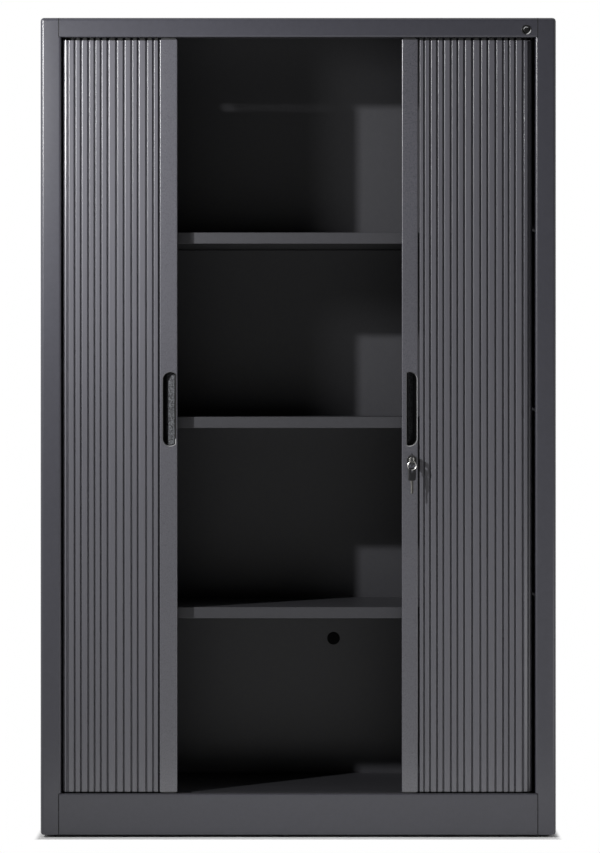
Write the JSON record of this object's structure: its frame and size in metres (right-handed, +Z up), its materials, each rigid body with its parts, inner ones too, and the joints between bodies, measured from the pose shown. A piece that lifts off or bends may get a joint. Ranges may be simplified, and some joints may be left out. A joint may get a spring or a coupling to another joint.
{
  "type": "tambour door cabinet",
  "caption": "Tall steel office cabinet with slatted tambour doors that slide sideways round the corners, shelves inside, finger pulls, a key lock and levelling feet.",
  "frame": {"origin": "centre of the footprint, on the floor", "axes": "+Z up, the front faces -Y, +X to the right seen from the front"},
  "size_m": [1, 0.5032, 1.59],
  "materials": {
    "powder_coat": "fine textured powder coat, graphite grey",
    "slat_plastic": "satin extruded plastic",
    "post_aluminium": "satin coated, graphite grey",
    "grey_plastic": "satin",
    "black_plastic": "satin, lightly grained",
    "zinc_plate": "zinc plated",
    "bright_steel": "nickel plated"
  },
  "bodies": {
    "carcass": {"left_side_panel": "powder_coat", "right_side_panel": "powder_coat", "top_panel": "powder_coat", "rail_plug": "black_plastic", "plinth": "powder_coat", "base_panel": "powder_coat", "back_panel": "powder_coat", "cable_cap": "black_plastic", "left_liner": "powder_coat", "right_liner": "powder_coat", "shelf_1": "powder_coat", "shelf_2": "powder_coat", "shelf_3": "powder_coat", "clip_1_left_front": "zinc_plate", "clip_1_left_back": "zinc_plate", "clip_1_right_front": "zinc_plate", "clip_1_right_back": "zinc_plate", "clip_2_left_front": "zinc_plate", "clip_2_left_back": "zinc_plate", "clip_2_right_front": "zinc_plate", "clip_2_right_back": "zinc_plate", "clip_3_left_front": "zinc_plate", "clip_3_left_back": "zinc_plate", "clip_3_right_front": "zinc_plate", "clip_3_right_back": "zinc_plate", "left_lower_track": "grey_plastic", "right_lower_track": "grey_plastic", "left_upper_track": "grey_plastic", "right_upper_track": "grey_plastic", "bush_front_left": "zinc_plate", "bush_front_right": "zinc_plate", "bush_back_left": "zinc_plate", "bush_back_right": "zinc_plate", "left_curtain": "slat_plastic", "right_curtain": "slat_plastic"},
    "left_door": {"left_post": "post_aluminium", "left_pull": "black_plastic", "left_lower_shoe": "black_plastic", "left_upper_shoe": "black_plastic", "strike_plate": "zinc_plate"},
    "right_door": {"right_post": "post_aluminium", "right_pull": "black_plastic", "right_lower_shoe": "black_plastic", "right_upper_shoe": "black_plastic", "lock_housing": "black_plastic"},
    "lock": {"lock_plug": "bright_steel", "hook_cam": "zinc_plate", "key_bow": "black_plastic", "key_blade": "bright_steel"},
    "ring": {"key_ring": "bright_steel"},
    "spare_key": {"spare_bow": "black_plastic", "spare_blade": "bright_steel"},
    "leg_front_left": {"foot_front_left": "black_plastic"},
    "leg_front_right": {"foot_front_right": "black_plastic"},
    "leg_back_left": {"foot_back_left": "black_plastic"},
    "leg_back_right": {"foot_back_right": "black_plastic"}
  },
  "joints": [
    {"name": "left_door_slide", "type": "slide", "parent": "carcass", "child": "left_door", "axis": [1, 0, 0], "range_m": [-0.1674, 0.2338], "deforming": ["left_curtain"]},
    {"name": "right_door_slide", "type": "slide", "parent": "carcass", "child": "right_door", "axis": [-1, 0, 0], "range_m": [-0.2043, 0.2004], "deforming": ["right_curtain"]},
    {"name": "lock_turn", "type": "hinge", "parent": "right_door", "child": "lock", "pos_m": [0.22001, -0.21436, 0.73228], "axis": [0, 1, 0], "range_deg": [0, 90]},
    {"name": "key_ring_swing", "type": "hinge", "parent": "lock", "child": "ring", "pos_m": [0.22001, -0.24116, 0.72967], "axis": [-1, 0, 0], "range_deg": [-10, 60]},
    {"name": "spare_key_swing", "type": "hinge", "parent": "ring", "child": "spare_key", "pos_m": [0.22001, -0.24116, 0.71327], "axis": [-1, 0, 0], "range_deg": [-12, 45]},
    {"name": "leg_front_left_level", "type": "slide", "parent": "carcass", "child": "leg_front_left", "axis": [0, 0, 1], "range_m": [-0.012, 0]},
    {"name": "leg_front_right_level", "type": "slide", "parent": "carcass", "child": "leg_front_right", "axis": [0, 0, 1], "range_m": [-0.012, 0]},
    {"name": "leg_back_left_level", "type": "slide", "parent": "carcass", "child": "leg_back_left", "axis": [0, 0, 1], "range_m": [-0.012, 0]},
    {"name": "leg_back_right_level", "type": "slide", "parent": "carcass", "child": "leg_back_right", "axis": [0, 0, 1], "range_m": [-0.012, 0]}
  ]
}
